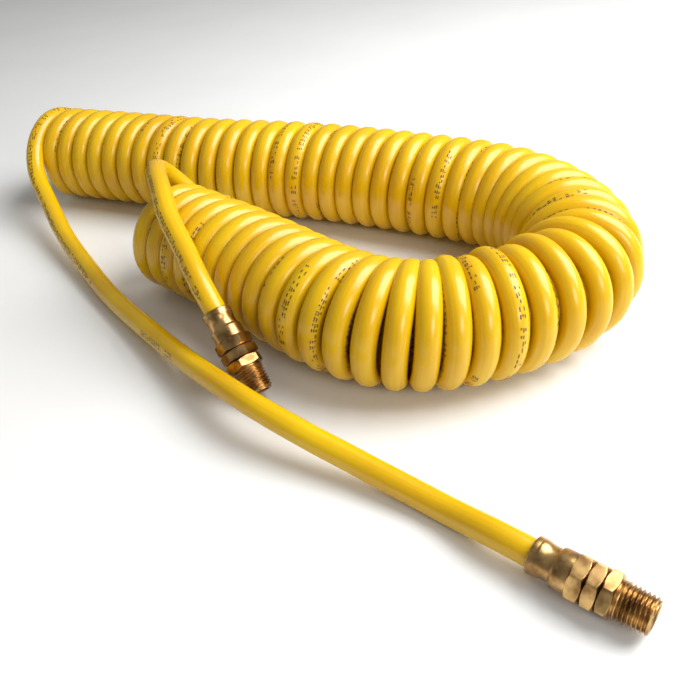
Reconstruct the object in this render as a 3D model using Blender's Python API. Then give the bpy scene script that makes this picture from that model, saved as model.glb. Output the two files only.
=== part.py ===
"""Self-storing coiled air hose with a brass swivel fitting on each end.

The hose is one length of 6.5 x 10 mm polyurethane tube. Most of it is set into a tight left-hand
coil that lies on its side, bent back on itself in a U. A long leader and a short leader run from
the two ends of the coil to the fittings. Each fitting is a barbed stem held by a compression nut
and sleeve, and it carries a male taper-thread nipple that swivels about the fitting's own axis.

Metres, +Z up. The hose stands on z = 0 and the origin is under the middle of the whole object.
"""
import bmesh
import bpy
import numpy as np
from mathutils import Matrix, Vector

MM = 0.001

# ---- Hose -------------------------------------------------------------------------------------
HOSE_OD = 10.0 * MM
HOSE_BORE = 6.5 * MM
COIL_OD = 55.1 * MM
TOUCH_GAP = 0.3 * MM               # kept between two meshes that meet face to face
TUBE_STEP = 14.0 * MM              # spacing of the points along an uncoiled stretch
COIL_STEP = 12.0 * MM              # spacing of the sections along the coil
COIL_SIDES = 24

# Axis of the coil, seen from above, from its far left end round the bend to its near left end.
COIL_AXIS = [(-142.4, 165.3), (-127.9, 159.2), (-89.9, 143.3), (-48.8, 126.0), (6.7, 107.4),
             (79.6, 72.7), (123.7, 38.7), (130.6, -24.5), (90.8, -52.1), (50.4, -56.5),
             (-7.6, -9.4), (-55.9, 38.1)]

# Long leader: off the top of the coil's far end, down towards the floor, over the rear fitting's
# thread in a low hump, and down to the front fitting.
LONG_ROUTE = [(-143.9, 176.2, 47.7), (-147.6, 167.8, 50.4), (-151.6, 159.0, 49.2),
              (-155.0, 150.5, 44.3), (-158.4, 142.4, 36.8), (-156.6, 132.0, 28.2),
              (-148.9, 117.6, 20.0), (-133.9, 87.3, 11.8), (-113.5, 52.1, 8.0),
              (-93.6, 20.1, 7.0), (-66.2, -19.2, 9.5), (-51.1, -40.4, 12.0),
              (-37.6, -58.4, 14.4), (-25.5, -73.0, 16.0), (-14.7, -84.7, 16.4),
              (-4.7, -93.1, 15.0), (4.7, -99.9, 13.0), (13.9, -106.2, 11.0),
              (22.9, -112.2, 9.2), (31.6, -118.4, 7.6), (40.1, -124.6, 6.4),
              (56.1, -137.7, 5.4)]

# Short leader: up from behind the coil's near end, over its top, and down its near side.
SHORT_ROUTE = [(-46.7, 61.5, 29.0), (-48.5, 61.5, 38.0), (-55.0, 60.8, 47.5),
               (-59.8, 54.0, 56.5), (-61.3, 45.5, 60.8), (-59.7, 34.0, 61.3),
               (-55.0, 19.0, 59.5), (-50.3, 4.0, 55.5), (-44.1, -12.5, 49.0)]

# ---- Fitting, sizes across ----------------------------------------------------------------------
HOSE_CLEARANCE = 0.25 * MM         # nut's bore round the hose
SLEEVE_CLEARANCE = 0.15 * MM       # sleeve's bore round the hose
SLEEVE_WALL = 0.6 * MM
SLEEVE_MARGIN = 0.3 * MM           # nut's thread bore round the sleeve
THREAD_FIT = 0.15 * MM             # nut's thread round the stem's thread
NUT_WALL = 0.85 * MM               # nut's wall at its thread
WAIST_WALL = 0.65 * MM             # nut's wall at its waist
BELL_FLARE = 0.55 * MM             # mouth's flare past the waist, so the hose does not kink
HEX_MARGIN = 0.25 * MM             # hexagon's flats past the barrel
BARB_INSET = 0.05 * MM             # barb's crest inside the hose's own bore radius
BARB_DEPTH = 0.3 * MM
STEM_WALL = 1.2 * MM               # stem's wall at the barbs
SPIGOT_RADIUS = 3.4 * MM
SWIVEL_CLEARANCE = 0.1 * MM        # radial, nipple's bore round the spigot
RING_LEDGE = 0.8 * MM              # nipple's ledge that the retaining ring bears on
NIPPLE_THREAD_RADIUS = 6.55 * MM   # crest at the large end of the 1/4-18 NPT thread
NPT_TAPER = 1.0 / 32.0             # radius lost per length
WASHER_LEDGE = 1.5 * MM            # washer's width round the swivel bore
CORNER_CHAMFER = 0.8 * MM          # taken off a hexagon's corners at its faces

# ---- Fitting, sizes along its axis, from the nut's mouth ----------------------------------------
BARREL_START = 8.9 * MM
NUT_HEX_START = 13.6 * MM
NUT_LENGTH = 18.6 * MM
STEM_START = 2.0 * MM
BARB_PITCH = 1.8 * MM
BARB_COUNT = 3
SLEEVE_START = 9.9 * MM
SLEEVE_LENGTH = 3.0 * MM
STEM_HEX_LENGTH = 4.4 * MM
SWIVEL_GAP = 0.3 * MM              # between the stem's hexagon and the nipple's
NIPPLE_HEX_LENGTH = 4.1 * MM
NIPPLE_THREAD_LENGTH = 11.7 * MM
WASHER_THICKNESS = 0.8 * MM
ORING_SECTION = 0.8 * MM
ORING_GROOVE = 1.4 * MM
RING_THICKNESS = 0.8 * MM
RING_OPENING = 60.0                # degrees left out of the retaining ring

TURNED_SIDES = 36                  # a multiple of six, so a hexagon's corners land on points

SLEEVE_END = SLEEVE_START + SLEEVE_LENGTH
SHOULDER = SLEEVE_END + TOUCH_GAP                  # stem's shoulder behind the sleeve
STEM_HEX_START = NUT_LENGTH + TOUCH_GAP
STEM_HEX_END = STEM_HEX_START + STEM_HEX_LENGTH
NIPPLE_START = STEM_HEX_END + SWIVEL_GAP
NIPPLE_HEX_END = NIPPLE_START + NIPPLE_HEX_LENGTH
NIPPLE_END = NIPPLE_HEX_END + NIPPLE_THREAD_LENGTH
ORING_CENTRE = NIPPLE_HEX_END
RING_START = ORING_CENTRE + 3.6 * MM
STEM_END = RING_START + RING_THICKNESS + 1.1 * MM

HOSE_RADIUS = HOSE_OD / 2
BARB_RADIUS = HOSE_BORE / 2 - BARB_INSET
BARB_ROOT = BARB_RADIUS - BARB_DEPTH
STEM_BORE_RADIUS = BARB_RADIUS - STEM_WALL
NUT_BORE = HOSE_RADIUS + HOSE_CLEARANCE
SLEEVE_BORE = HOSE_RADIUS + SLEEVE_CLEARANCE
SLEEVE_RADIUS = SLEEVE_BORE + SLEEVE_WALL
NUT_THREAD_BORE = SLEEVE_RADIUS + SLEEVE_MARGIN
STEM_THREAD_RADIUS = NUT_THREAD_BORE - THREAD_FIT
WAIST_RADIUS = NUT_BORE + WAIST_WALL
BELL_RADIUS = WAIST_RADIUS + BELL_FLARE
BARREL_RADIUS = NUT_THREAD_BORE + NUT_WALL
HEX_FLATS = 2 * (BARREL_RADIUS + HEX_MARGIN)
SWIVEL_BORE = SPIGOT_RADIUS + SWIVEL_CLEARANCE
CHAMBER_RADIUS = SWIVEL_BORE + RING_LEDGE
WASHER_RADIUS = SWIVEL_BORE + WASHER_LEDGE

# Where each fitting lies: the middle of its mouth, and the way its thread points.
FRONT_MOUTH = (79.1, -160.3, 8.4)
FRONT_AXIS = (0.751, -0.660, 0.0)
FRONT_ROLL = 10.0                  # degrees the nut and stem hexagons are turned from flat
REAR_MOUTH = (-29.6, -41.0, 31.6)
REAR_AXIS = (0.424, -0.625, -0.655)
REAR_ROLL = 24.0


def make_material(name, colour, roughness, metallic=0.0):
    """Return a Principled material of one colour."""
    material = bpy.data.materials.new(name)
    material.use_nodes = True
    shader = material.node_tree.nodes["Principled BSDF"]
    shader.inputs["Base Color"].default_value = (*colour, 1.0)
    shader.inputs["Roughness"].default_value = roughness
    shader.inputs["Metallic"].default_value = metallic
    return material


def smooth_curve(points, step):
    """Points about one step apart on a natural cubic curve through the given points."""
    knots = np.array(points, dtype=float) * MM
    reach = np.concatenate([[0.0], np.cumsum(np.linalg.norm(np.diff(knots, axis=0), axis=1))])
    gap = np.diff(reach)
    count = len(knots)
    system = np.eye(count)
    bend = np.zeros_like(knots)
    for i in range(1, count - 1):
        system[i, i - 1:i + 2] = gap[i - 1], 2 * (gap[i - 1] + gap[i]), gap[i]
        bend[i] = 6 * ((knots[i + 1] - knots[i]) / gap[i] - (knots[i] - knots[i - 1]) / gap[i - 1])
    second = np.linalg.solve(system, bend)

    def at(distances):
        cell = np.clip(np.searchsorted(reach, distances, side="right") - 1, 0, count - 2)
        width = gap[cell][:, None]
        after = (distances - reach[cell])[:, None]
        before = width - after
        return ((second[cell] * before ** 3 + second[cell + 1] * after ** 3) / (6 * width)
                + (knots[cell] / width - second[cell] * width / 6) * before
                + (knots[cell + 1] / width - second[cell + 1] * width / 6) * after)

    fine = at(np.linspace(0.0, reach[-1], 40 * count))
    walked = np.concatenate([[0.0], np.cumsum(np.linalg.norm(np.diff(fine, axis=0), axis=1))])
    places = np.linspace(0.0, walked[-1], max(2, round(walked[-1] / step) + 1))
    return np.stack([np.interp(places, walked, fine[:, axis]) for axis in range(fine.shape[1])], 1)


def add_object(name, mesh, material, parent=None):
    """Link a mesh as an object, with round faces smooth and edges sharp."""
    mesh.shade_smooth()
    mesh.set_sharp_from_angle(angle=np.radians(30))
    mesh.materials.append(material)
    piece = bpy.data.objects.new(name, mesh)
    piece.parent = parent
    bpy.context.scene.collection.objects.link(piece)
    return piece


def add_tube(name, points, material):
    """An uncoiled stretch of hose: a bevelled curve with filled ends."""
    curve = bpy.data.curves.new(name, "CURVE")
    curve.dimensions = "3D"
    curve.bevel_depth = HOSE_RADIUS
    curve.bevel_resolution = 3
    curve.use_fill_caps = True
    spline = curve.splines.new("POLY")
    spline.points.add(len(points) - 1)
    for point, place in zip(spline.points, points):
        point.co = (*place, 1.0)
    curve.materials.append(material)
    piece = bpy.data.objects.new(name, curve)
    bpy.context.scene.collection.objects.link(piece)
    return piece


def add_coil(name, material):
    """The coil's outer shape: a round section carried along the coil's axis."""
    radius = COIL_OD / 2
    axis = smooth_curve(COIL_AXIS, COIL_STEP)
    along = np.gradient(axis, axis=0)
    along /= np.linalg.norm(along, axis=1)[:, None]
    turn = np.arange(COIL_SIDES) * 2 * np.pi / COIL_SIDES
    shape = bmesh.new()
    rings = []
    for (x, y), (dx, dy) in zip(axis, along):
        ring = [shape.verts.new((x + radius * np.sin(t) * dy, y - radius * np.sin(t) * dx,
                                 radius - radius * np.cos(t))) for t in turn]
        rings.append(ring)
    for first, second in zip(rings, rings[1:]):
        for i in range(COIL_SIDES):
            j = (i + 1) % COIL_SIDES
            shape.faces.new((first[i], first[j], second[j], second[i]))
    shape.faces.new(rings[0])
    shape.faces.new(rings[-1])
    bmesh.ops.recalc_face_normals(shape, faces=shape.faces)
    mesh = bpy.data.meshes.new(name)
    shape.to_mesh(mesh)
    shape.free()
    return add_object(name, mesh, material)


def circle(radius):
    """Section of a turned piece: the same radius all round."""
    return [radius] * TURNED_SIDES


def hexagon(flats, limit=None):
    """Section of a hexagon bar, its corners cut back to the limit radius."""
    radii = []
    for i in range(TURNED_SIDES):
        angle = np.radians((i * 360.0 / TURNED_SIDES) % 60.0 - 30.0)
        radius = flats / 2 / np.cos(angle)
        radii.append(radius if limit is None else min(radius, limit))
    return radii


def hexagon_bar(start, end):
    """Outline of a chamfered hexagon between two places along the axis."""
    corner = HEX_FLATS / 2 / np.cos(np.radians(30))
    limit = corner - CORNER_CHAMFER
    ramp = CORNER_CHAMFER * np.tan(np.radians(30))
    return [(start, hexagon(HEX_FLATS, limit)), (start + ramp, hexagon(HEX_FLATS)),
            (end - ramp, hexagon(HEX_FLATS)), (end, hexagon(HEX_FLATS, limit))]


def add_turned(name, outline, material, parent, roll=0.0):
    """A closed ring of sections about local +Z: out along the skin and back through the bore."""
    shape = bmesh.new()
    rings = []
    for place, radii in outline:
        ring = []
        for i, radius in enumerate(radii):
            angle = np.radians(i * 360.0 / TURNED_SIDES + roll)
            ring.append(shape.verts.new((radius * np.cos(angle), radius * np.sin(angle), place)))
        rings.append(ring)
    for first, second in zip(rings, rings[1:] + rings[:1]):
        for i in range(TURNED_SIDES):
            j = (i + 1) % TURNED_SIDES
            shape.faces.new((first[i], first[j], second[j], second[i]))
    bmesh.ops.recalc_face_normals(shape, faces=shape.faces)
    mesh = bpy.data.meshes.new(name)
    shape.to_mesh(mesh)
    shape.free()
    return add_object(name, mesh, material, parent)


def nut_outline():
    """Compression nut: flared mouth, waist, barrel and hexagon, bored for hose and thread."""
    lip = BELL_RADIUS - 0.45 * MM
    mouth = NUT_BORE + 0.6 * MM
    seat = SLEEVE_START - 0.6 * MM
    skin = [(0.0, circle(lip)), (0.6 * MM, circle(BELL_RADIUS)),
            (2.0 * MM, circle(BELL_RADIUS)), (4.0 * MM, circle((BELL_RADIUS + WAIST_RADIUS) / 2)),
            (6.0 * MM, circle(WAIST_RADIUS)), (BARREL_START - 1.2 * MM, circle(WAIST_RADIUS)),
            (BARREL_START, circle(BARREL_RADIUS)), (NUT_HEX_START, circle(BARREL_RADIUS))]
    bore = [(NUT_LENGTH, circle(NUT_THREAD_BORE)), (seat + 1.1 * MM, circle(NUT_THREAD_BORE)),
            (seat, circle(NUT_BORE)), (1.2 * MM, circle(NUT_BORE)), (0.0, circle(mouth))]
    return skin + hexagon_bar(NUT_HEX_START, NUT_LENGTH) + bore


def sleeve_outline():
    """Compression sleeve round the hose, its mouth end tapered to the nut's seat."""
    nose = SLEEVE_RADIUS - 0.35 * MM
    return [(SLEEVE_START, circle(nose)), (SLEEVE_START + 1.0 * MM, circle(SLEEVE_RADIUS)),
            (SLEEVE_END, circle(SLEEVE_RADIUS)), (SLEEVE_END, circle(SLEEVE_BORE)),
            (SLEEVE_START, circle(SLEEVE_BORE))]


def hose_end_outline():
    """The hose's gripped end, opened by the barbs from its own bore."""
    stretched = HOSE_BORE / 2 + 0.1 * MM
    return [(0.0, circle(HOSE_RADIUS)), (SLEEVE_END, circle(HOSE_RADIUS)),
            (SLEEVE_END, circle(stretched)), (0.0, circle(stretched))]


def stem_outline():
    """Barbed stem: barbs, shoulder and thread, hexagon, and the grooved spigot."""
    skin = [(STEM_START, circle(STEM_BORE_RADIUS + 0.5 * MM))]
    for i in range(BARB_COUNT):
        crest = STEM_START + 1.4 * MM + i * BARB_PITCH
        skin += [(crest, circle(BARB_RADIUS)), (crest + 0.2 * MM, circle(BARB_ROOT))]
    skin += [(SHOULDER, circle(BARB_ROOT)), (SHOULDER, circle(STEM_THREAD_RADIUS)),
             (STEM_HEX_START, circle(STEM_THREAD_RADIUS))]
    skin += hexagon_bar(STEM_HEX_START, STEM_HEX_END)
    skin += [(STEM_HEX_END, circle(SPIGOT_RADIUS))]
    oring_floor = SWIVEL_BORE - ORING_SECTION - 0.2 * MM
    ring_floor = SPIGOT_RADIUS - 0.5 * MM
    ring_side = 0.1 * MM
    for start, end, floor in ((ORING_CENTRE - ORING_GROOVE / 2, ORING_CENTRE + ORING_GROOVE / 2,
                               oring_floor),
                              (RING_START - ring_side, RING_START + RING_THICKNESS + ring_side,
                               ring_floor)):
        skin += [(start, circle(SPIGOT_RADIUS)), (start, circle(floor)),
                 (end, circle(floor)), (end, circle(SPIGOT_RADIUS))]
    skin += [(STEM_END - 0.3 * MM, circle(SPIGOT_RADIUS)),
             (STEM_END, circle(SPIGOT_RADIUS - 0.3 * MM))]
    return skin + [(STEM_END, circle(STEM_BORE_RADIUS)), (STEM_START, circle(STEM_BORE_RADIUS))]


def nipple_outline():
    """Swivel nipple: hexagon and taper thread, bored for spigot, washer and retaining ring."""
    chamfer = 0.7 * MM
    neck = NIPPLE_THREAD_RADIUS - 0.5 * MM
    tip = NIPPLE_THREAD_RADIUS - NIPPLE_THREAD_LENGTH * NPT_TAPER
    pocket = NIPPLE_START + WASHER_THICKNESS + 0.1 * MM
    ledge = RING_START - TOUCH_GAP
    skin = [(NIPPLE_HEX_END, circle(neck)), (NIPPLE_HEX_END + 0.6 * MM, circle(neck)),
            (NIPPLE_HEX_END + 1.1 * MM, circle(NIPPLE_THREAD_RADIUS)),
            (NIPPLE_END - chamfer, circle(tip)), (NIPPLE_END, circle(tip - chamfer))]
    bore = [(NIPPLE_END, circle(CHAMBER_RADIUS)), (ledge, circle(CHAMBER_RADIUS)),
            (ledge, circle(SWIVEL_BORE)), (pocket, circle(SWIVEL_BORE)),
            (pocket, circle(WASHER_RADIUS + 0.2 * MM)),
            (NIPPLE_START, circle(WASHER_RADIUS + 0.2 * MM))]
    return hexagon_bar(NIPPLE_START, NIPPLE_HEX_END) + skin + bore


def washer_outline():
    """Thrust washer between the two hexagons, let into the nipple's pocket."""
    start = STEM_HEX_END + 0.15 * MM
    end = start + WASHER_THICKNESS
    return [(start, circle(WASHER_RADIUS)), (end, circle(WASHER_RADIUS)),
            (end, circle(SWIVEL_BORE)), (start, circle(SWIVEL_BORE))]


def oring_outline():
    """O-ring of round section in the spigot's groove."""
    middle = SWIVEL_BORE - 0.1 * MM - ORING_SECTION / 2
    section = np.arange(8) * 2 * np.pi / 8
    return [(ORING_CENTRE + ORING_SECTION / 2 * np.sin(t),
             circle(middle + ORING_SECTION / 2 * np.cos(t))) for t in section]


def add_retaining_ring(name, material, parent):
    """Open spring ring in the spigot's end groove."""
    inner = SPIGOT_RADIUS - 0.4 * MM
    outer = CHAMBER_RADIUS - 2 * SWIVEL_CLEARANCE
    corners = [(inner, RING_START), (outer, RING_START), (outer, RING_START + RING_THICKNESS),
               (inner, RING_START + RING_THICKNESS)]
    shape = bmesh.new()
    rings = []
    for angle in np.radians(np.linspace(RING_OPENING / 2, 360.0 - RING_OPENING / 2, 31)):
        rings.append([shape.verts.new((r * np.cos(angle), r * np.sin(angle), z))
                      for r, z in corners])
    for first, second in zip(rings, rings[1:]):
        for i in range(4):
            j = (i + 1) % 4
            shape.faces.new((first[i], first[j], second[j], second[i]))
    shape.faces.new(rings[0])
    shape.faces.new(rings[-1])
    bmesh.ops.recalc_face_normals(shape, faces=shape.faces)
    mesh = bpy.data.meshes.new(name)
    shape.to_mesh(mesh)
    shape.free()
    return add_object(name, mesh, material, parent)


def add_empty(name, mouth, axis):
    """Empty at a fitting's mouth, +Z along the fitting towards its thread."""
    forward = Vector(axis).normalized()
    side = forward.cross(Vector((0.0, 0.0, 1.0))).normalized()
    empty = bpy.data.objects.new(name, None)
    frame = Matrix((side, forward.cross(side), forward)).transposed()
    empty.matrix_world = Matrix.Translation(Vector(mouth) * MM) @ frame.to_4x4()
    bpy.context.scene.collection.objects.link(empty)
    return empty


def add_fitting(end, mouth, axis, roll, finish):
    """All the pieces of one fitting; the nipple hangs on its own empty, on the swivel axis."""
    seat = add_empty(end + "_fitting", mouth, axis)
    add_turned(end + "_compression_nut", nut_outline(), finish["brass"], seat, roll)
    add_turned(end + "_compression_sleeve", sleeve_outline(), finish["brass"], seat)
    add_turned(end + "_hose_end", hose_end_outline(), finish["hose"], seat)
    add_turned(end + "_barbed_stem", stem_outline(), finish["brass"], seat, roll)
    add_turned(end + "_thrust_washer", washer_outline(), finish["acetal"], seat)
    add_turned(end + "_swivel_oring", oring_outline(), finish["rubber"], seat)
    add_retaining_ring(end + "_retaining_ring", finish["steel"], seat)
    swivel = add_empty(end + "_swivel", mouth, axis)
    add_turned(end + "_swivel_nipple", nipple_outline(), finish["brass"], swivel)


def leader_points(route, mouth, axis):
    """A leader's route, brought straight into its fitting's mouth."""
    forward = np.array(axis) / np.linalg.norm(axis)
    mouth = np.array(mouth)
    lead_in = mouth - forward * 1.2 * HOSE_OD / MM
    end = mouth - forward * TOUCH_GAP / MM
    return smooth_curve(route + [tuple(lead_in), tuple(end)], TUBE_STEP)


def main():
    """Build the whole hose."""
    for old in list(bpy.data.objects):
        bpy.data.objects.remove(old, do_unlink=True)
    finish = {"hose": make_material("yellow_polyurethane", (0.83, 0.50, 0.012), 0.28),
              "brass": make_material("brass", (0.56, 0.38, 0.17), 0.32, 1.0),
              "acetal": make_material("white_acetal", (0.78, 0.77, 0.72), 0.5),
              "rubber": make_material("black_rubber", (0.02, 0.02, 0.02), 0.6),
              "steel": make_material("spring_steel", (0.42, 0.42, 0.42), 0.35, 1.0)}
    add_coil("hose_coil", finish["hose"])
    add_tube("hose_leader_long", leader_points(LONG_ROUTE, FRONT_MOUTH, FRONT_AXIS),
             finish["hose"])
    add_tube("hose_leader_short", leader_points(SHORT_ROUTE, REAR_MOUTH, REAR_AXIS),
             finish["hose"])
    add_fitting("front", FRONT_MOUTH, FRONT_AXIS, FRONT_ROLL, finish)
    add_fitting("rear", REAR_MOUTH, REAR_AXIS, REAR_ROLL, finish)
    bpy.context.view_layer.update()


main()
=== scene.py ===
"""Self-storing coiled air hose with a swivelling brass fitting on each end.

The hose is one length of 6.5 x 10 mm polyurethane tube. Most of it is set in a tight left-hand
coil that lies on its side and is bent back on itself. A long and a short leader run from the
coil's two ends to the fittings. Each fitting is a compression nut on a barbed stem, with a male
taper-thread nipple that swivels on the stem.

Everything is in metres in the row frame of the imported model, with +Z up.
"""

import logging
import math
from dataclasses import dataclass, field
from enum import Enum

import bpy
import numpy as np
from mathutils import Matrix, Vector

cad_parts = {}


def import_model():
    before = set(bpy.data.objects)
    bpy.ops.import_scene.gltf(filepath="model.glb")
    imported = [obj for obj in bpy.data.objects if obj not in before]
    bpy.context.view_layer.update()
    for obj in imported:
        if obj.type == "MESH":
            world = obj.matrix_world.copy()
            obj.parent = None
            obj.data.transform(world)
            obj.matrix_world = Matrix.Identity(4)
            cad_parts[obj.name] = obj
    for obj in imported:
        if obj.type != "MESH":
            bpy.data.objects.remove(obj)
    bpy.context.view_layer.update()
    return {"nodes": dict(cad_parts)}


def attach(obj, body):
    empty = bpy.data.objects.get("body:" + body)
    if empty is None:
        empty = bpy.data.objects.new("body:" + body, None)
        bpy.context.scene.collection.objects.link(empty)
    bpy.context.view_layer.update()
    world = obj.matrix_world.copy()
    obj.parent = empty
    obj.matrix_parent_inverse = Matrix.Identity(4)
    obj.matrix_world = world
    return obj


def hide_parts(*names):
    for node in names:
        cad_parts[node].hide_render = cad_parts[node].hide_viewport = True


LOG = logging.getLogger("air_hose")

MM = 0.001


class End(Enum):
    """The hose's two ends, by the name their pieces carry."""

    FRONT = "front"
    REAR = "rear"


class Shade(Enum):
    """How a mesh is shaded."""

    SMOOTH = 180.0
    MACHINED = 32.0


# ---- Small tools --------------------------------------------------------------------------------


def linear(colour: str) -> tuple[float, float, float, float]:
    """Turn an sRGB hex value into a linear colour.

    Args:
        colour: six hex digits after a hash.

    Returns:
        Red, green, blue and an alpha of one.
    """
    code = np.array([int(colour[i:i + 2], 16) for i in (1, 3, 5)]) / 255.0
    value = np.where(code <= 0.04045, code / 12.92, ((code + 0.055) / 1.055) ** 2.4)
    return (*(float(channel) for channel in value), 1.0)


def add_node(tree: bpy.types.NodeTree, kind: str, settings: dict | None = None,
             links: dict | None = None) -> bpy.types.Node:
    """Add one node with its settings and the links into it.

    Args:
        tree: the node tree.
        kind: the node's type.
        settings: attribute names, or input sockets by name or number, and their values.
        links: input sockets by name or number, and the output sockets that feed them.

    Returns:
        The new node.
    """
    node = tree.nodes.new(kind)
    for key, value in (settings or {}).items():
        if isinstance(key, str) and hasattr(node, key):
            setattr(node, key, value)
        else:
            node.inputs[key].default_value = value
    for key, source in (links or {}).items():
        tree.links.new(source, node.inputs[key])
    return node


def new_material(name: str) -> tuple[bpy.types.Material, bpy.types.NodeTree, bpy.types.Node]:
    """Start a material.

    Args:
        name: what the finish is.

    Returns:
        The material, its node tree and its Principled shader.
    """
    material = bpy.data.materials.new(name)
    material.use_nodes = True
    tree = material.node_tree
    return material, tree, tree.nodes["Principled BSDF"]


def ramp(tree: bpy.types.NodeTree, source: bpy.types.NodeSocket,
         stops: list[tuple[float, str]]) -> bpy.types.Node:
    """Add a colour ramp.

    Args:
        tree: the node tree.
        source: what drives the ramp.
        stops: place and sRGB hex value of each stop.

    Returns:
        The ramp node.
    """
    node = add_node(tree, "ShaderNodeValToRGB", links={"Fac": source})
    elements = node.color_ramp.elements
    while len(elements) < len(stops):
        elements.new(0.5)
    for element, (place, colour) in zip(elements, stops):
        element.position = place
        element.color = linear(colour)
    return node


def add_piece(name: str, points: np.ndarray, faces: np.ndarray, material: bpy.types.Material,
              shade: Shade, uv: np.ndarray | None = None,
              caps: list[np.ndarray] | None = None) -> bpy.types.Object:
    """Make one object from arrays.

    Args:
        name: the piece's name.
        points: vertex places, one row each.
        faces: quads as vertex numbers, one row each.
        material: its finish.
        shade: smooth all over, or sharp at machined edges.
        uv: one place on the map for each corner of each quad.
        caps: vertex numbers of further faces, wound outwards.

    Returns:
        The object, linked, at the origin.
    """
    mesh = bpy.data.meshes.new(name)
    caps = caps or []
    loops = np.concatenate([faces.ravel(), *caps]) if caps else faces.ravel()
    sizes = np.concatenate([np.full(len(faces), 4), [len(cap) for cap in caps]]).astype(np.int32)
    mesh.vertices.add(len(points))
    mesh.vertices.foreach_set("co", points.astype(np.float32).ravel())
    mesh.loops.add(len(loops))
    mesh.loops.foreach_set("vertex_index", loops.astype(np.int32))
    mesh.polygons.add(len(sizes))
    mesh.polygons.foreach_set("loop_start", np.concatenate([[0], np.cumsum(sizes)[:-1]])
                              .astype(np.int32))
    mesh.update(calc_edges=True)
    if uv is not None:
        layer = mesh.uv_layers.new(name="surface")
        flat = np.zeros((len(loops), 2), np.float32)
        flat[:faces.size] = uv.reshape(-1, 2)
        layer.data.foreach_set("uv", flat.ravel())
    mesh.validate()
    mesh.shade_smooth()
    if shade is not Shade.SMOOTH:
        mesh.set_sharp_from_angle(angle=math.radians(shade.value))
    mesh.materials.append(material)
    piece = bpy.data.objects.new(name, mesh)
    bpy.context.scene.collection.objects.link(piece)
    return piece


def grid_faces(rows: int, columns: int, wrap_rows: bool) -> np.ndarray:
    """Quads of a grid whose columns close on themselves.

    Args:
        rows: how many rows of points.
        columns: how many points to a row.
        wrap_rows: whether the last row joins the first.

    Returns:
        Vertex numbers, four to a face.
    """
    row = np.arange(rows if wrap_rows else rows - 1)[:, None]
    column = np.arange(columns)[None, :]
    after, beside = (row + 1) % rows, (column + 1) % columns
    return np.stack([row * columns + column, row * columns + beside,
                     after * columns + beside, after * columns + column], -1).reshape(-1, 4)


def smoothstep(value: np.ndarray) -> np.ndarray:
    """Ease from 0 to 1 with level ends: three squares less two cubes."""
    clipped = np.clip(value, 0.0, 1.0)
    return clipped * clipped * (3.0 - 2.0 * clipped)


class Curve:
    """A natural cubic through points, spaced by the straight distances between them."""

    def __init__(self, knots: np.ndarray) -> None:
        """Solve the curve's bends.

        Args:
            knots: the points, one row each.
        """
        self.knots = np.asarray(knots, float)
        steps = np.linalg.norm(np.diff(self.knots, axis=0), axis=1)
        self.reach = np.concatenate([[0.0], np.cumsum(steps)])
        count = len(self.knots)
        inner = np.arange(1, count - 1)
        system = np.eye(count)
        system[inner, inner - 1] = steps[:-1]
        system[inner, inner] = 2 * (steps[:-1] + steps[1:])
        system[inner, inner + 1] = steps[1:]
        slope = np.diff(self.knots, axis=0) / steps[:, None]
        bend = np.zeros_like(self.knots)
        bend[1:-1] = 6 * np.diff(slope, axis=0)
        self.second = np.linalg.solve(system, bend)

    def at(self, distance: np.ndarray) -> np.ndarray:
        """Points on the curve.

        Args:
            distance: places along it, counted by straight distances between the knots.

        Returns:
            One point for each place; past either end the curve runs on straight.
        """
        inside = np.clip(distance, 0.0, self.reach[-1])
        cell = np.clip(np.searchsorted(self.reach, inside, side="right") - 1, 0,
                       len(self.knots) - 2)
        width = np.diff(self.reach)[cell][:, None]
        after = (inside - self.reach[cell])[:, None]
        before = width - after
        point = ((self.second[cell] * before ** 3 + self.second[cell + 1] * after ** 3)
                 / (6 * width)
                 + (self.knots[cell] / width - self.second[cell] * width / 6) * before
                 + (self.knots[cell + 1] / width - self.second[cell + 1] * width / 6) * after)
        past = (distance - inside)[:, None]
        if not past.any():
            return point
        small = 1e-4 * MM
        lead = np.where(past < 0, (self.at(np.full(1, small)) - self.knots[0]) / small,
                        (self.knots[-1] - self.at(np.full(1, self.reach[-1] - small))) / small)
        return point + past * lead

    def lengths(self, count: int) -> tuple[np.ndarray, np.ndarray]:
        """True length along the curve at evenly spread places.

        Args:
            count: how many places.

        Returns:
            The places, and the length up to each.
        """
        places = np.linspace(0.0, self.reach[-1], count)
        walked = np.linalg.norm(np.diff(self.at(places), axis=0), axis=1)
        return places, np.concatenate([[0.0], np.cumsum(walked)])


def unit(vectors: np.ndarray) -> np.ndarray:
    """Vectors of the same directions and a length of one."""
    return vectors / np.linalg.norm(vectors, axis=-1, keepdims=True)


# ---- Finishes -----------------------------------------------------------------------------------


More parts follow.
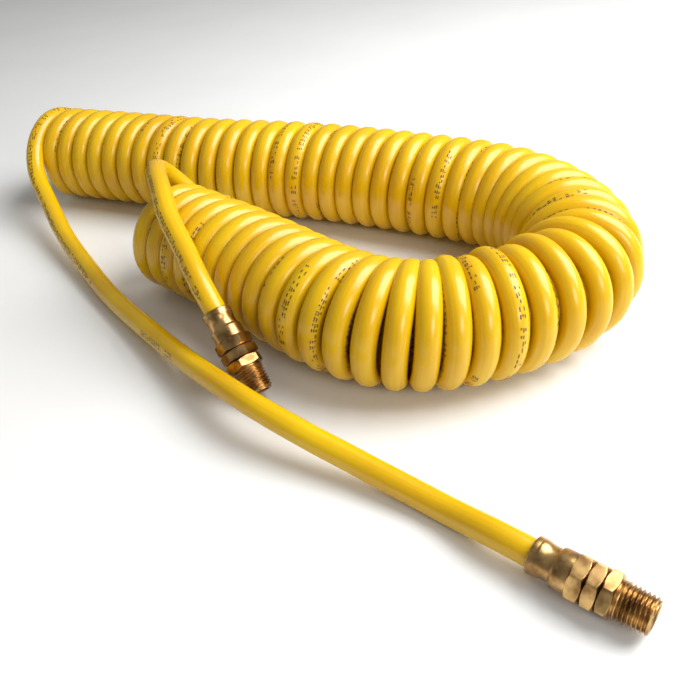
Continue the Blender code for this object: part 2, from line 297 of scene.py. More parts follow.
@dataclass(frozen=True)
class YellowPolyurethane:
    """Extruded ether polyurethane tube, coloured right through.

    It is glossy and slightly translucent, so light bleeds into the turns and their shadows go
    amber. Extrusion leaves faint streaks along the tube.
    """

    lit: str = "#E0BA06"
    deep: str = "#D09E04"
    roughness: float = 0.27
    ior: float = 1.5
    streak_width: float = 1.1 * MM
    bleed: float = 2.2 * MM

    def material(self) -> bpy.types.Material:
        """The finish, its streaks laid along the hose by the piece's own map."""
        material, tree, shader = new_material("extruded_yellow_polyurethane")
        place = add_node(tree, "ShaderNodeUVMap", {"uv_map": "surface"})
        along = add_node(tree, "ShaderNodeMapping", {"Scale": (14.0, 1.0 / self.streak_width
                                                               * 0.0314, 1.0)},
                         {"Vector": place.outputs["UV"]})
        streaks = add_node(tree, "ShaderNodeTexNoise", {"Scale": 1.0, "Detail": 2.0},
                           {"Vector": along.outputs["Vector"]})
        where = add_node(tree, "ShaderNodeTexCoord")
        cloud = add_node(tree, "ShaderNodeTexNoise", {"Scale": 1 / (35 * MM), "Detail": 1.0},
                         {"Vector": where.outputs["Object"]})
        both = add_node(tree, "ShaderNodeMath", {"operation": "ADD", "use_clamp": True})
        half_streaks = add_node(tree, "ShaderNodeMath", {"operation": "MULTIPLY", 1: 0.45},
                                {0: streaks.outputs["Fac"]})
        half_cloud = add_node(tree, "ShaderNodeMath", {"operation": "MULTIPLY", 1: 0.55},
                              {0: cloud.outputs["Fac"]})
        tree.links.new(half_streaks.outputs[0], both.inputs[0])
        tree.links.new(half_cloud.outputs[0], both.inputs[1])
        colour = ramp(tree, both.outputs[0], [(0.3, self.deep), (0.7, self.lit)])
        tree.links.new(colour.outputs["Color"], shader.inputs["Base Color"])
        bump = add_node(tree, "ShaderNodeBump", {"Strength": 0.12, "Distance": 0.05 * MM},
                        {"Height": streaks.outputs["Fac"]})
        tree.links.new(bump.outputs["Normal"], shader.inputs["Normal"])
        shader.inputs["Roughness"].default_value = self.roughness
        shader.inputs["IOR"].default_value = self.ior
        shader.inputs["Subsurface Weight"].default_value = 0.35
        shader.inputs["Subsurface Radius"].default_value = (1.0, 0.5, 0.08)
        shader.inputs["Subsurface Scale"].default_value = self.bleed
        return material


@dataclass(frozen=True)
class MarkingInk:
    """Ink-jet marking, thin and brown on the yellow, matt and a little worn."""

    dark: str = "#4A2E0A"
    worn: str = "#8A5E14"
    grain: float = 0.9 * MM

    def material(self) -> bpy.types.Material:
        """The finish, patchy where the ink has rubbed off."""
        material, tree, shader = new_material("worn_brown_marking_ink")
        where = add_node(tree, "ShaderNodeTexCoord")
        wear = add_node(tree, "ShaderNodeTexNoise", {"Scale": 1 / self.grain, "Detail": 2.0},
                        {"Vector": where.outputs["Object"]})
        colour = ramp(tree, wear.outputs["Fac"], [(0.4, self.dark), (0.62, self.worn)])
        tree.links.new(colour.outputs["Color"], shader.inputs["Base Color"])
        shader.inputs["Roughness"].default_value = 0.5
        return material


@dataclass(frozen=True)
class MachinedBrass:
    """Free-cutting brass, turned and milled from hexagon bar and left bare.

    Turning leaves fine rings round each piece. Handling dulls it in soft brown patches.
    """

    bright: str = "#CFA96E"
    dull: str = "#83613A"
    roughness: float = 0.28
    ring_spacing: float = 0.22 * MM

    def material(self) -> bpy.types.Material:
        """The finish, its rings laid round the axis by the piece's own map."""
        material, tree, shader = new_material("machined_bare_brass")
        place = add_node(tree, "ShaderNodeUVMap", {"uv_map": "surface"})
        round_axis = add_node(tree, "ShaderNodeMapping",
                              {"Scale": (0.03 / self.ring_spacing, 1 / self.ring_spacing, 1.0)},
                              {"Vector": place.outputs["UV"]})
        rings = add_node(tree, "ShaderNodeTexNoise", {"Scale": 1.0, "Detail": 3.0},
                         {"Vector": round_axis.outputs["Vector"]})
        where = add_node(tree, "ShaderNodeTexCoord")
        patches = add_node(tree, "ShaderNodeTexNoise", {"Scale": 1 / (6 * MM), "Detail": 4.0},
                           {"Vector": where.outputs["Object"]})
        colour = ramp(tree, patches.outputs["Fac"], [(0.35, self.dull), (0.62, self.bright)])
        tree.links.new(colour.outputs["Color"], shader.inputs["Base Color"])
        spread = add_node(tree, "ShaderNodeMapRange",
                          {"To Min": self.roughness - 0.06, "To Max": self.roughness + 0.12},
                          {"Value": rings.outputs["Fac"]})
        tree.links.new(spread.outputs["Result"], shader.inputs["Roughness"])
        bump = add_node(tree, "ShaderNodeBump", {"Strength": 0.25, "Distance": 0.04 * MM},
                        {"Height": rings.outputs["Fac"]})
        tree.links.new(bump.outputs["Normal"], shader.inputs["Normal"])
        shader.inputs["Metallic"].default_value = 1.0
        return material


@dataclass(frozen=True)
class PlainFinish:
    """Finish of a piece sealed inside a fitting: one colour with a fine grain."""

    name: str
    light: str
    dark: str
    roughness: float
    metallic: float = 0.0
    grain: float = 0.4 * MM

    def material(self) -> bpy.types.Material:
        """The finish on the piece's own coordinates."""
        material, tree, shader = new_material(self.name)
        where = add_node(tree, "ShaderNodeTexCoord")
        grain = add_node(tree, "ShaderNodeTexNoise", {"Scale": 1 / self.grain, "Detail": 2.0},
                         {"Vector": where.outputs["Object"]})
        colour = ramp(tree, grain.outputs["Fac"], [(0.35, self.dark), (0.65, self.light)])
        tree.links.new(colour.outputs["Color"], shader.inputs["Base Color"])
        shader.inputs["Roughness"].default_value = self.roughness
        shader.inputs["Metallic"].default_value = self.metallic
        return material


ACETAL = PlainFinish("moulded_white_acetal", "#EDEBE2", "#E2DFD4", 0.5)
NITRILE = PlainFinish("moulded_black_nitrile", "#1C1C1C", "#121212", 0.6)
SPRING_STEEL = PlainFinish("stamped_spring_steel", "#B4B4B4", "#9A9A9A", 0.35, 1.0)


# ---- The hose's line ----------------------------------------------------------------------------


@dataclass
class Seat:
    """Where one fitting lies: the middle of its nut's mouth, and the way its thread points."""

    mouth: tuple[float, float, float]
    axis: tuple[float, float, float]
    roll: float

    def frame(self) -> np.ndarray:
        """Rows are the fitting's own X, Y and Z in the row frame; Z runs towards the thread."""
        forward = unit(np.array(self.axis))
        side = unit(np.cross(forward, (0.0, 0.0, 1.0)))
        return np.stack([side, np.cross(forward, side), forward])

    def station(self, along: float) -> np.ndarray:
        """Point on the fitting's axis at a distance in metres from the mouth."""
        return np.array(self.mouth) * MM + self.frame()[2] * along


SEATS = {End.FRONT: Seat((79.1, -160.3, 8.4), (0.751, -0.660, 0.0), 10.0),
         End.REAR: Seat((-29.6, -41.0, 31.6), (0.424, -0.625, -0.655), 24.0)}


@dataclass
class HoseLine:
    """The hose's centreline from one fitting to the other, with a frame at each station."""

    radius: float = 5.0 * MM
    turn_radius: float = 22.55 * MM
    axis_height: float = 27.55 * MM
    grip: float = 12.9 * MM
    step: float = 3.2 * MM
    knots_per_turn: int = 16
    # Coil axis seen from above, millimetres, far left end to near left end.
    axis: list[tuple[float, float]] = field(default_factory=lambda: [
        (-142.4, 165.3), (-127.9, 159.2), (-89.9, 143.3), (-48.8, 126.0), (6.7, 107.4),
        (79.6, 72.7), (123.7, 38.7), (130.6, -24.5), (90.8, -52.1), (50.4, -56.5),
        (-7.6, -9.4), (-55.9, 38.1)])
    # Long leader, millimetres, from the coil's far end to the front fitting.
    long_route: list[tuple[float, float, float]] = field(default_factory=lambda: [
        (-147.6, 167.8, 50.4), (-151.6, 159.0, 49.2), (-155.2, 150.5, 44.3),
        (-157.2, 142.2, 36.8), (-155.8, 132.2, 28.2), (-148.9, 117.6, 20.0),
        (-133.9, 87.3, 11.8), (-113.5, 52.1, 8.0), (-93.6, 20.1, 7.0), (-66.2, -19.2, 9.5),
        (-51.1, -40.4, 12.0), (-37.6, -58.4, 14.4), (-25.5, -73.0, 16.0),
        (-14.7, -84.7, 16.4), (-4.7, -93.1, 15.0), (4.7, -99.9, 13.0), (13.9, -106.2, 11.0),
        (22.9, -112.2, 9.2), (31.6, -118.4, 7.6), (40.1, -124.6, 6.4), (56.1, -137.7, 5.4)])
    # Short leader, millimetres: up behind the coil's near end, over its top and down to the
    # rear fitting.
    short_route: list[tuple[float, float, float]] = field(default_factory=lambda: [
        (-48.5, 60.5, 37.0), (-56.0, 60.0, 47.5), (-61.3, 54.5, 56.5), (-62.0, 45.0, 61.0),
        (-59.0, 31.0, 61.5), (-55.2, 17.5, 59.5), (-51.4, 4.0, 55.5), (-44.1, -12.5, 49.0)])
    # Turns of the coil: where they start, where the bend starts and ends, and where the short
    # leader leaves. Then the first top's place on the axis, the pitch when closed, and the length
    # that the bend adds to the turns' spacing; below nought it draws them together.
    first_turn: float = -1.93
    open_turn: float = 24.0
    close_turn: float = 43.0
    last_turn: float = 55.72
    first_top: float = 15.8 * MM
    pitch: float = 10.746 * MM
    bend_extra: float = -8.27 * MM
    # Past the bend the turns have slid this far along, so they gape behind and crowd ahead.
    slide: float = 10.5 * MM
    slide_turn: float = 37.6
    slide_width: float = 4.3
    # The last turns sit this much closer.
    crowd: float = 2.5 * MM
    crowd_turn: float = 45.0
    # Inside the bend, where the turns have no room, every other one rides this far out or in.
    stagger: float = 1.9 * MM
    stagger_late: float = 1.0
    stagger_width: float = 5.5
    # Hose kept straight at each nut's mouth, and the length over which the swell fades out.
    lead_in: float = 12.0 * MM
    swell_fade: float = 60.0 * MM

    def along_axis(self, turn: np.ndarray) -> np.ndarray:
        """Length along the coil's axis at a turn.

        It grows by one pitch a turn. Through the bend a change of length eases in and out as w
        less the sine of a whole turn of w over two pi. A bell-shaped slide moves the turns past
        the bend along, and the last turns are crowded by an eased amount.

        Args:
            turn: turns counted from the first top, whole numbers at the coil's top.

        Returns:
            Metres along the coil's axis.
        """
        share = np.clip((turn - self.open_turn) / (self.close_turn - self.open_turn), 0.0, 1.0)
        ease = share - np.sin(2 * np.pi * share) / (2 * np.pi)
        slid = self.slide * np.exp(-((turn - self.slide_turn) / self.slide_width) ** 2)
        slid = slid - self.crowd * smoothstep((turn - self.crowd_turn)
                                              / (self.last_turn - self.crowd_turn))
        return self.first_top + self.pitch * turn + self.bend_extra * ease + slid

    def away_from_axis(self, turn: np.ndarray) -> np.ndarray:
        """Distance of the turns from the coil's axis.

        It is even but for the inside of the bend, where a wave of two turns' length lets every
        other turn ride out and its neighbours in.

        Args:
            turn: turns counted from the first top.

        Returns:
            Metres from the axis.
        """
        middle = (self.open_turn + self.close_turn) / 2
        bend = np.exp(-((turn - middle - self.stagger_late) / self.stagger_width) ** 4)
        inside = (0.5 - 0.5 * np.sin(2 * np.pi * turn)) ** 2
        return self.turn_radius + self.stagger * bend * inside * np.cos(np.pi * (turn - 0.75))

    def on_coil(self, length: np.ndarray, angle: np.ndarray,
                away: np.ndarray) -> tuple[np.ndarray, np.ndarray]:
        """Points round the coil's axis.

        Args:
            length: metres along the axis.
            angle: radians past the top, towards the left side of travel.
            away: metres from the axis.

        Returns:
            The points, and the directions out from the axis.
        """
        curve = Curve(np.array(self.axis) * MM)
        places, walked = curve.lengths(6000)
        place = np.interp(length, walked, places)
        place = place + np.minimum(length, 0.0) + np.maximum(length - walked[-1], 0.0)
        middle = curve.at(place)
        ahead = unit(curve.at(place + 0.5 * MM) - curve.at(place - 0.5 * MM))
        out = np.stack([-np.sin(angle) * ahead[:, 1], np.sin(angle) * ahead[:, 0],
                        np.cos(angle)], -1)
        centre = np.column_stack([middle, np.full(len(middle), self.axis_height)])
        return centre + out * np.asarray(away)[..., None], out

    def build(self) -> None:
        """Work out the stations, their frames and the lengths along the hose."""
        front, rear = SEATS[End.FRONT], SEATS[End.REAR]
        turns = np.linspace(self.first_turn, self.last_turn,
                            round((self.last_turn - self.first_turn) * self.knots_per_turn))
        coil, coil_out = self.on_coil(self.along_axis(turns), 2 * np.pi * turns,
                                      self.away_from_axis(turns))
        knots = np.concatenate([
            [front.station(self.grip), front.station(0.0), front.station(-self.lead_in)],
            np.array(self.long_route[::-1]) * MM, coil,
            np.array(self.short_route) * MM,
            [rear.station(-self.lead_in), rear.station(0.0), rear.station(self.grip)]])
        curve = Curve(knots)
        places, walked = curve.lengths(60000)
        count = round(walked[-1] / self.step) + 1
        self.length = np.linspace(0.0, walked[-1], count)
        where = np.interp(self.length, walked, places)
        self.centre = curve.at(where)
        self.ahead = unit(np.gradient(self.centre, axis=0))
        first = 3 + len(self.long_route)
        coil_reach = curve.reach[first:first + len(coil)]
        inside = (where >= coil_reach[0]) & (where <= coil_reach[-1])
        self.coiled = np.interp(where, coil_reach, np.arange(len(coil)) / self.knots_per_turn)
        self.coil_share = (smoothstep((where - coil_reach[0]) / self.swell_fade)
                           * smoothstep((coil_reach[-1] - where) / self.swell_fade))
        out = np.stack([np.interp(where, coil_reach, coil_out[:, axis]) for axis in range(3)], 1)
        low, high = np.flatnonzero(inside)[[0, -1]]
        for i in range(low - 1, -1, -1):
            out[i] = out[i + 1] - self.ahead[i] * np.dot(out[i + 1], self.ahead[i])
            out[i] /= np.linalg.norm(out[i])
        for i in range(high + 1, count):
            out[i] = out[i - 1] - self.ahead[i] * np.dot(out[i - 1], self.ahead[i])
            out[i] /= np.linalg.norm(out[i])
        out -= self.ahead * np.sum(out * self.ahead, axis=1)[:, None]
        self.out = unit(out)
        self.side = np.cross(self.ahead, self.out)

    def free_length(self) -> float:
        """Metres of hose between the two nuts' mouths."""
        return float(self.length[-1] - 2 * self.grip)

    def surface(self, length: np.ndarray, angle: np.ndarray, away: float) -> np.ndarray:
        """Points on a round tube about the line.

        Args:
            length: metres from the start of the line.
            angle: radians round it, from the outward direction.
            away: metres from the centreline, less the tube's swell along the coil.

        Returns:
            One point for each place.
        """
        centre, out, side = (np.stack([np.interp(length, self.length, field_[:, axis])
                                       for axis in range(3)], -1)
                             for field_ in (self.centre, self.out, self.side))
        swell = 1.0 + Hose.swell * np.interp(length, self.length, self.coil_share)
        return (centre + out * (away * np.cos(angle))[..., None]
                + side * (away * swell * np.sin(angle))[..., None])


@dataclass
class Hose:
    """The tube itself and the marking printed along it."""

    line: HoseLine
    sides: int = 24
    bore: float = 3.35 * MM
    bore_depth: float = 14.0 * MM
    real_length: float = 8.8
    # Winding squashes the tube: this much wider along the coil's axis than its free diameter.
    swell = 0.066
    mark_height: float = 2.5 * MM
    mark_pitch: float = 2.3 * MM
    mark_lift: float = 0.03 * MM
    mark_sink: float = 0.05 * MM
    group_length: float = 31 * MM
    group_share: float = 0.72
    column_share: float = 0.9
    dash_share: float = 0.72
    # Marking: how far round the tube it sits, degrees from outward, at lengths in millimetres.
    # Along the coil it winds slowly round the tube, so it shows on a few turns in every eight.
    mark_angle: list[tuple[float, float]] = field(default_factory=lambda: [
        (0.0, -43.0), (120.0, -42.0), (180.0, -37.0), (240.0, -33.0), (300.0, -23.0),
        (380.0, -13.0), (455.0, 35.0), (8453.0, 2565.0), (8560.0, 2592.0), (8690.0, 2575.0),
        (8720.0, 2585.0), (8900.0, 2590.0)])
    # The marking starts this far from the front fitting.
    mark_start: float = 168.0 * MM

    def tube(self, material: bpy.types.Material) -> bpy.types.Object:
        """Sweep the round section along the line, with a blind bore at each gripped end.

        A point is the centreline plus radius times cosine of the angle outwards, plus radius
        times the swell times sine of the angle sideways.

        Args:
            material: the hose's finish.

        Returns:
            The tube.
        """
        line = self.line
        deep = int(np.ceil(self.bore_depth / line.step))
        last = len(line.length) - 1
        index = np.concatenate([[deep, deep, 0, 0], np.arange(1, last), [last, last],
                                [last - deep, last - deep]])
        plain = np.full(last - 1, line.radius)
        lip = line.radius - 0.3 * MM
        radius = np.concatenate([[0.4 * MM, self.bore, self.bore, lip], plain,
                                 [lip, self.bore], [self.bore, 0.4 * MM]])
        angle = np.arange(self.sides) * 2 * np.pi / self.sides
        swell = 1.0 + self.swell * line.coil_share[index][:, None, None]
        across = radius[:, None, None] * (
            np.cos(angle)[None, :, None] * line.out[index][:, None]
            + np.sin(angle)[None, :, None] * line.side[index][:, None] * swell)
        points = line.centre[index][:, None] + across
        rows = len(index)
        faces = grid_faces(rows, self.sides, False)
        travelled = line.length[index]
        row, column = np.divmod(np.arange(len(faces)), self.sides)
        around = np.stack([column, column + 1, column + 1, column], 1) / self.sides
        along = np.stack([travelled[row], travelled[row], travelled[row + 1],
                          travelled[row + 1]], 1)
        uv = np.stack([along, around], -1)
        caps = [np.arange(self.sides)[::-1], np.arange(self.sides) + (rows - 1) * self.sides]
        return add_piece("air_hose", points.reshape(-1, 3), faces, material, Shade.SMOOTH, uv,
                         caps)

    def marking(self, material: bpy.types.Material) -> bpy.types.Object:
        """Lay short dashes in three ranks on the tube, in groups with gaps between.

        Each dash is a thin closed tile whose corners lie on the tube's surface.

        Args:
            material: the ink's finish.

        Returns:
            All the dashes as one piece.
        """
        chance = np.random.default_rng(7)
        line = self.line
        total = line.length[-1]
        cell = np.arange(self.mark_start, total - 20 * MM, self.mark_pitch)
        group = np.floor(cell / self.group_length).astype(int)
        fill = chance.random(group.max() + 1)[group]
        kept = (fill < self.group_share) & (chance.random(len(cell)) < self.column_share)
        start = np.repeat(cell[kept], 3)
        rank = np.tile([-1.0, 0.0, 1.0], kept.sum())
        drawn = chance.random(len(start)) < self.dash_share
        start, rank = start[drawn], rank[drawn]
        span = chance.uniform(0.55, 1.7, len(start)) * MM
        start = start + chance.uniform(0.0, 0.4, len(start)) * MM
        knots = np.array(self.mark_angle)
        base = np.radians(np.interp(start / MM, knots[:, 0], knots[:, 1]))
        turn = self.mark_height / line.radius / 2
        low = base + (rank * 0.75 - 0.22) * turn
        high = base + (rank * 0.75 + 0.22) * turn
        corners = []
        for lift in (-self.mark_sink, self.mark_lift):
            away = line.radius + lift
            for at, angle in ((start, low), (start + span, low), (start + span, high),
                              (start, high)):
                corners.append(line.surface(at, angle, away))
        points = np.stack(corners, 1)
        tile = np.array([[0, 3, 2, 1], [4, 5, 6, 7], [0, 1, 5, 4], [1, 2, 6, 5], [2, 3, 7, 6],
                         [3, 0, 4, 7]])
        faces = (np.arange(len(points))[:, None, None] * 8 + tile).reshape(-1, 4)
        return add_piece("hose_marking", points.reshape(-1, 3), faces, material, Shade.MACHINED)


# ---- The fittings -------------------------------------------------------------------------------


class Profile:
    """Outline of a turned piece: stations along the axis, and the radius at each.

    A hexagon's rows hold the radius its chamfer cone allows; the flats cut that back.
    """

    def __init__(self) -> None:
        """Start with no rows."""
        self.rows: list[tuple[float, float, bool]] = []

    def line(self, *points: tuple[float, float]) -> "Profile":
        """Add round rows at (station, radius) in metres."""
        self.rows += [(along, radius, False) for along, radius in points]
        return self

    def arc(self, along: float, away: float, size: float, start: float, end: float,
            steps: int = 6) -> "Profile":
        """Add a rounded edge.

        Args:
            along: station of the arc's middle.
            away: distance of its middle from the axis.
            size: its radius.
            start: first angle in degrees, from outwards towards the thread.
            end: last angle in degrees.
            steps: how many rows.

        Returns:
            The profile.
        """
        angle = np.radians(np.linspace(start, end, steps))
        return self.line(*zip(along + size * np.sin(angle), away + size * np.cos(angle)))

    def hexagon(self, start: float, end: float, corner: float, face: float) -> "Profile":
        """Add a hexagon bar with both ends chamfered at thirty degrees.

        Args:
            start: station of its first face.
            end: station of its last face.
            corner: radius over its corners.
            face: radius of the round faces the chamfers leave.

        Returns:
            The profile.
        """
        share = np.linspace(0.0, 1.0, 7)
        depth = (corner - face) * math.tan(math.radians(30))
        limit = face + (corner - face) * share
        self.rows += [(start + depth * s, r, True) for s, r in zip(share, limit)]
        self.rows += [(end - depth * s, r, True) for s, r in zip(share[::-1], limit[::-1])]
        return self

    def arrays(self) -> tuple[np.ndarray, np.ndarray, np.ndarray]:
        """Stations, radii, and which rows are hexagon."""
        along, radius, flat = zip(*self.rows)
        return np.array(along), np.array(radius), np.array(flat)


@dataclass
class SwivelFitting:
    """One end fitting, sized in metres from the nut's mouth along its own axis."""

    end: End
    seat: Seat
    flats: float = 14.3 * MM
    bell: float = 6.45 * MM
    waist: float = 5.9 * MM
    barrel: float = 6.9 * MM
    nut_bore: float = 5.25 * MM
    thread_bore: float = 6.05 * MM
    stem_thread: float = 5.9 * MM
    barb: float = 3.2 * MM
    barb_root: float = 2.9 * MM
    barb_start: float = 3.4 * MM
    barb_pitch: float = 1.8 * MM
    barb_count: int = 3
    # O-ring's and retaining ring's grooves: start, end and floor radius, millimetres.
    grooves: tuple[tuple[float, float, float], ...] = ((27.0, 28.4, 2.5), (31.2, 32.2, 2.9))
    stem_bore: float = 2.0 * MM
    spigot: float = 3.4 * MM
    swivel_bore: float = 3.5 * MM
    chamber: float = 4.3 * MM
    crest: float = 6.55 * MM
    taper: float = 1.0 / 32.0
    thread_pitch: float = 25.4 / 18 * MM
    thread_depth: float = 0.9 * MM
    barrel_start: float = 8.9 * MM
    nut_hex: float = 13.6 * MM
    nut_end: float = 18.6 * MM
    seat_start: float = 9.3 * MM
    shoulder: float = 13.2 * MM
    stem_hex: float = 18.9 * MM
    stem_hex_end: float = 23.3 * MM
    nipple_hex: float = 23.6 * MM
    nipple_hex_end: float = 27.7 * MM
    nipple_end: float = 39.4 * MM
    stem_end: float = 33.2 * MM
    columns: int = 120

    def corner(self) -> float:
        """Radius over a hexagon's corners, a hair rounded."""
        return self.flats / 2 / math.cos(math.radians(30)) - 0.06 * MM

    def face(self) -> float:
        """Radius of the round face that a hexagon's chamfer leaves."""
        return self.flats / 2 - 0.15 * MM

    def place(self, along: np.ndarray, radius: np.ndarray, angle: np.ndarray) -> np.ndarray:
        """Turn station, radius and angle round the fitting into points of the row frame."""
        local = np.stack([radius * np.cos(angle), radius * np.sin(angle),
                          np.broadcast_to(along, radius.shape)], -1)
        return local @ self.seat.frame() + np.array(self.seat.mouth) * MM

    def turned(self, name: str, profile: Profile, material: bpy.types.Material, roll: float,
               thread: bool = False) -> bpy.types.Object:
        """Carry a profile round the axis.

        A hexagon's radius at an angle is half its flats over the cosine of the angle to the
        nearest flat's middle. A thread's radius falls from the taper's crest by its depth times
        a wave of height against turn that leaves small flats at crest and root.

        Args:
            name: the piece's name after its end's.
            profile: its outline.
            material: its finish.
            roll: degrees its hexagon is turned.
            thread: whether the rows past the nipple's hexagon carry the pipe thread.

        Returns:
            The piece.
        """
        along, limit, flat = profile.arrays()
        angle = np.arange(self.columns) * 2 * np.pi / self.columns
        from_flat = np.mod(angle, math.radians(60)) - math.radians(30)
        hexagon = self.flats / 2 / np.cos(from_flat)
        radius = np.broadcast_to(limit[:, None], (len(along), self.columns)).copy()
        radius[flat] = np.minimum(radius[flat], hexagon)
        if thread:
            climb = along[:, None] / self.thread_pitch - angle / (2 * np.pi)
            wave = np.abs(2 * (climb - np.floor(climb)) - 1)
            cut = np.clip(1.25 * wave - 0.12, 0.0, 1.0)
            start = self.nipple_hex_end + 0.6 * MM
            fade = smoothstep((along - start) / (1.2 * self.thread_pitch))[:, None]
            crest = self.crest - self.taper * (along - self.nipple_hex_end)
            skin = (along > start) & (limit > self.crest - 1.6 * MM) & ~flat
            cutter = crest[:, None] - self.thread_depth * cut * fade
            radius[skin] = np.minimum(radius, cutter)[skin]
        points = self.place(along[:, None], radius, angle[None, :] + math.radians(roll))
        faces = grid_faces(len(along), self.columns, True)
        walked = np.concatenate([[0.0], np.cumsum(np.hypot(np.diff(along), np.diff(limit)))])
        row, column = np.divmod(np.arange(len(faces)), self.columns)
        around = np.stack([column, column + 1, column + 1, column], 1) / self.columns
        after = np.append(walked, walked[-1])
        up = np.stack([after[row], after[row], after[row + 1], after[row + 1]], 1)
        uv = np.stack([around * 2 * np.pi * self.barrel, up], -1)
        return add_piece(f"{self.end.value}_{name}", points.reshape(-1, 3), faces, material,
                         Shade.MACHINED, uv)

    def nut(self, material: bpy.types.Material) -> bpy.types.Object:
        """Compression nut: flared mouth, waist, barrel and hexagon."""
        lip = 0.55 * MM
        profile = Profile().arc(lip, self.bell - lip, lip, -90, 0)
        profile.line((1.9 * MM, self.bell), (2.2 * MM, self.bell - 0.06 * MM))
        share = np.linspace(0.0, 1.0, 8)
        neck = self.bell + (self.waist - self.bell) * smoothstep(share)
        profile.line(*zip(2.4 * MM + 3.4 * MM * share, neck))
        profile.line((self.barrel_start - 1.1 * MM, self.waist))
        profile.line((self.barrel_start - 0.95 * MM, self.waist + 0.05 * MM),
                     (self.barrel_start - 0.15 * MM, self.barrel - 0.12 * MM),
                     (self.barrel_start + 0.1 * MM, self.barrel),
                     (self.nut_hex - 0.1 * MM, self.barrel), (self.nut_hex, self.barrel))
        profile.hexagon(self.nut_hex, self.nut_end, self.corner(), self.face())
        profile.line((self.nut_end, self.thread_bore + 0.3 * MM),
                     (self.nut_end - 0.3 * MM, self.thread_bore),
                     (self.seat_start + 1.1 * MM, self.thread_bore),
                     (self.seat_start, self.nut_bore), (1.2 * MM, self.nut_bore))
        profile.arc(1.2 * MM - 0.75 * MM, self.nut_bore + 0.45 * MM, 0.45 * MM, 180, 270, 5)
        return self.turned("compression_nut_detailed", profile, material, self.seat.roll)

    def stem(self, material: bpy.types.Material) -> bpy.types.Object:
        """Barbed stem: barbs, shoulder, thread, hexagon and grooved spigot."""
        profile = Profile().line((2.0 * MM, self.stem_bore), (2.0 * MM, self.stem_bore + 0.5 * MM))
        for i in range(self.barb_count):
            crest = self.barb_start + i * self.barb_pitch
            profile.line((crest, self.barb), (crest + 0.2 * MM, self.barb_root))
        profile.line((self.shoulder, self.barb_root), (self.shoulder, self.stem_thread - 0.3 * MM),
                     (self.shoulder + 0.3 * MM, self.stem_thread),
                     (self.stem_hex - 0.6 * MM, self.stem_thread),
                     (self.stem_hex - 0.3 * MM, self.stem_thread - 0.4 * MM),
                     (self.stem_hex, self.stem_thread - 0.4 * MM))
        profile.hexagon(self.stem_hex, self.stem_hex_end, self.corner(), self.face())
        profile.line((self.stem_hex_end, self.spigot))
        for low, high, floor in self.grooves:
            profile.line((low * MM, self.spigot), (low * MM, floor * MM),
                         (high * MM, floor * MM), (high * MM, self.spigot))
        profile.line((self.stem_end - 0.3 * MM, self.spigot),
                     (self.stem_end, self.spigot - 0.3 * MM), (self.stem_end, self.stem_bore))
        return self.turned("barbed_stem_detailed", profile, material, self.seat.roll)

    def nipple(self, material: bpy.types.Material) -> bpy.types.Object:
        """Swivel nipple: hexagon and cut taper pipe thread."""
        profile = Profile().hexagon(self.nipple_hex, self.nipple_hex_end, self.corner(),
                                    self.face())
        neck = self.crest - 0.62 * MM
        profile.line((self.nipple_hex_end, neck + 0.35 * MM),
                     (self.nipple_hex_end + 0.15 * MM, neck),
                     (self.nipple_hex_end + 0.5 * MM, neck))
        chamfer = 0.7 * MM
        rows = np.linspace(self.nipple_hex_end + 0.6 * MM, self.nipple_end, 112)
        limit = np.minimum(self.crest - self.taper * (rows - self.nipple_hex_end),
                           neck + 1.1 * (rows - rows[0]) + 0.02 * MM)
        tip = self.crest - self.taper * (self.nipple_end - self.nipple_hex_end)
        limit = np.minimum(limit, tip - chamfer + (self.nipple_end - rows) * 1.1)
        profile.line(*zip(rows, limit))
        profile.line((self.nipple_end, self.chamber + 0.35 * MM),
                     (self.nipple_end - 0.35 * MM, self.chamber),
                     (31.0 * MM, self.chamber), (31.0 * MM, self.swivel_bore),
                     (self.nipple_hex + 0.9 * MM, self.swivel_bore),
                     (self.nipple_hex + 0.9 * MM, 5.2 * MM), (self.nipple_hex, 5.2 * MM))
        return self.turned("swivel_nipple_detailed", profile, material, 0.0, thread=True)

    def build(self, nodes: dict, brass: bpy.types.Material) -> list[bpy.types.Object]:
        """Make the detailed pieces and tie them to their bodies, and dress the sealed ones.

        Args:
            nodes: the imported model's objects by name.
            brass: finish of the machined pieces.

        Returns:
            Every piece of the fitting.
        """
        end = self.end.value
        made = []
        for piece, node, body in ((self.nut(brass), "compression_nut", "hose"),
                                  (self.stem(brass), "barbed_stem", "hose"),
                                  (self.nipple(brass), "swivel_nipple", f"{end}_swivel")):
            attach(piece, body)
            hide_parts(f"{end}_{node}")
            made.append(piece)
            LOG.info("built %s", piece.name)
        sealed = {"compression_sleeve": brass, "thrust_washer": ACETAL.material(),
                  "swivel_oring": NITRILE.material(), "retaining_ring": SPRING_STEEL.material()}
        for name, material in sealed.items():
            node = nodes[f"{end}_{name}"]
            node.material_slots[0].material = material
            made.append(node)
            LOG.info("dressed %s", node.name)
        return made


# ---- Studio -------------------------------------------------------------------------------------


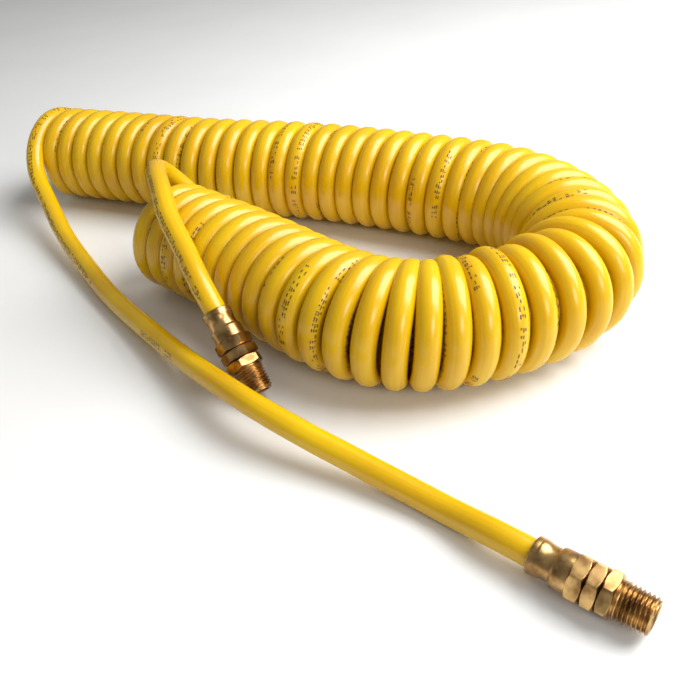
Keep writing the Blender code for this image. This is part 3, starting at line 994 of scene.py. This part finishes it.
@dataclass
class Studio:
    """Floor, lights and camera."""

    focal_length: float = 39.06
    eye: tuple[float, float, float] = (0.0261, -0.3120, 0.2098)
    pitch_down: float = 37.01
    tilt: float = -4.584
    world_strength: float = 0.27

    def floor(self) -> bpy.types.Object:
        """Pale matt floor, far larger than the hose."""
        material, tree, shader = new_material("pale_studio_floor")
        where = add_node(tree, "ShaderNodeTexCoord")
        grain = add_node(tree, "ShaderNodeTexNoise", {"Scale": 12.0, "Detail": 2.0},
                         {"Vector": where.outputs["Object"]})
        colour = ramp(tree, grain.outputs["Fac"], [(0.3, "#E9E9E7"), (0.7, "#ECECEA")])
        tree.links.new(colour.outputs["Color"], shader.inputs["Base Color"])
        shader.inputs["Roughness"].default_value = 0.8
        half = 4.0
        mesh = bpy.data.meshes.new("studio_floor")
        mesh.from_pydata([(-half, -half, 0), (half, -half, 0), (half, half, 0), (-half, half, 0)],
                         [], [(0, 1, 2, 3)])
        mesh.materials.append(material)
        floor = bpy.data.objects.new("studio_floor", mesh)
        bpy.context.scene.collection.objects.link(floor)
        return floor

    def light(self, name: str, place: tuple[float, float, float], size: float, power: float,
              colour: str = "#FFFFFF") -> None:
        """Add a square soft light that faces the hose.

        Args:
            name: its name.
            place: where it stands, in metres.
            size: length of its side.
            power: watts.
            colour: its colour.
        """
        lamp = bpy.data.lights.new(name, "AREA")
        lamp.shape = "SQUARE"
        lamp.size = size
        lamp.energy = power
        lamp.color = linear(colour)[:3]
        holder = bpy.data.objects.new(name, lamp)
        holder.location = place
        aim = Vector((0.0, 0.0, 0.02)) - Vector(place)
        holder.rotation_euler = aim.to_track_quat("-Z", "Y").to_euler()
        bpy.context.scene.collection.objects.link(holder)

    def camera(self) -> None:
        """Add the camera, pitched down and tilted about its own line of sight."""
        data = bpy.data.cameras.new("camera")
        data.lens = self.focal_length
        data.sensor_width = 36.0
        data.clip_start = 0.01
        down, tilt = math.radians(self.pitch_down), math.radians(self.tilt)
        right = Vector((1.0, 0.0, 0.0))
        rise = Vector((0.0, math.sin(down), math.cos(down)))
        look = Vector((0.0, math.cos(down), -math.sin(down)))
        across = right * math.cos(tilt) + rise * math.sin(tilt)
        up = rise * math.cos(tilt) - right * math.sin(tilt)
        camera = bpy.data.objects.new("camera", data)
        camera.matrix_world = (Matrix.Translation(self.eye)
                               @ Matrix((across, up, -look)).transposed().to_4x4())
        bpy.context.scene.collection.objects.link(camera)
        bpy.context.scene.camera = camera

    def build(self) -> None:
        """Set the stage."""
        self.floor()
        world = bpy.data.worlds.new("studio")
        world.use_nodes = True
        background = world.node_tree.nodes["Background"]
        background.inputs["Color"].default_value = (1, 1, 1, 1)
        background.inputs["Strength"].default_value = self.world_strength
        bpy.context.scene.world = world
        bpy.context.scene.view_settings.view_transform = "Standard"
        self.light("key", (0.55, 0.02, 0.64), 0.7, 12.4)
        self.light("front", (0.45, -0.75, 0.45), 0.32, 2.6)
        self.camera()


def main() -> None:
    """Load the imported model, build and dress every piece, and set the stage."""
    logging.basicConfig(level=logging.INFO, format="%(name)s: %(message)s")
    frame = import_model()
    brass = MachinedBrass().material()
    line = HoseLine()
    line.build()
    LOG.info("hose line is %.3f m between the nuts", line.free_length())
    hose = Hose(line)
    tube = hose.tube(YellowPolyurethane().material())
    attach(tube, "hose")
    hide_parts("hose_coil", "hose_leader_long", "hose_leader_short", "front_hose_end",
                "rear_hose_end")
    marking = hose.marking(MarkingInk().material())
    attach(marking, "hose")
    LOG.info("built %s and %s", tube.name, marking.name)
    fitted = [piece for end, seat in SEATS.items()
              for piece in SwivelFitting(end, seat).build(frame["nodes"], brass)]
    tuple(SEATS[End.FRONT].station(0.0))
    Studio().build()


if __name__ == "__main__":
    main()
